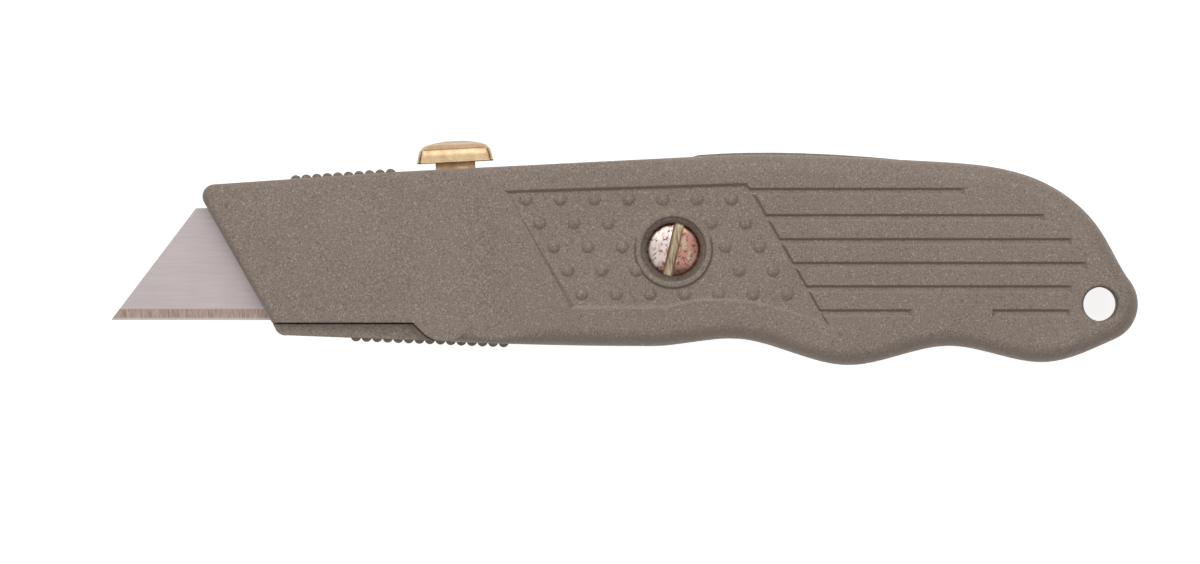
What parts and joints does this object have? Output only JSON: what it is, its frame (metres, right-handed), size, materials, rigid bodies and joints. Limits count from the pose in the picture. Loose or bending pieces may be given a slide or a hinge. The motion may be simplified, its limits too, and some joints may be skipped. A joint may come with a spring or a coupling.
{
  "type": "retractable utility knife",
  "caption": "Retractable utility knife with two die-cast half shells, a sliding blade carrier with a thumb button, a body screw and spare blades in the handle.",
  "frame": {"origin": "on the axis of the body screw, at the flat outside of the far half, which the knife lies on", "axes": "+X to the tail, +Y to the thumb button, +Z through the thickness to the half with the screw head"},
  "size_m": [0.171, 0.0374, 0.018],
  "materials": {
    "shell_paint": "fine sandy metallic taupe paint on die-cast metal",
    "screw_plate": "yellow-zinc plate with pink and gold tints",
    "button_brass": "bright brass plate",
    "blade_steel": "ground carbon steel",
    "carrier_steel": "zinc-plated steel",
    "rivet_steel": "bright steel",
    "spring_steel": "blued spring steel"
  },
  "bodies": {
    "frame": {"far_half": "shell_paint", "spare_blade_1": "blade_steel", "spare_blade_2": "blade_steel", "spare_blade_3": "blade_steel", "spare_blade_4": "blade_steel", "spare_blade_retainer": "spring_steel"},
    "slide": {"blade_carrier": "carrier_steel", "carrier_cover": "carrier_steel", "carrier_rivets": "rivet_steel", "working_blade": "blade_steel", "detent_spring": "spring_steel", "button_spring": "spring_steel"},
    "button": {"thumb_button": "button_brass"},
    "cover": {"near_half": "shell_paint"},
    "screw": {"body_screw": "screw_plate"}
  },
  "joints": [
    {"name": "slide_track", "type": "slide", "parent": "frame", "child": "slide", "axis": [0.9987, 0.0506, 0], "range_m": [0, 0.03], "deforming": ["detent_spring"]},
    {"name": "button_press", "type": "slide", "parent": "slide", "child": "button", "axis": [0.0506, -0.9987, 0], "range_m": [0, 0.0008], "stiffness_N_per_m": 600, "springref_m": -0.001, "deforming": ["button_spring"]},
    {"name": "cover_lift", "type": "slide", "parent": "frame", "child": "cover", "axis": [0, 0, 1], "range_m": [0, 0.03]},
    {"name": "screw_turn", "type": "hinge", "parent": "cover", "child": "screw", "pos_m": [0, 0, 0.0144], "axis": [0, 0, 1], "continuous": true}
  ]
}
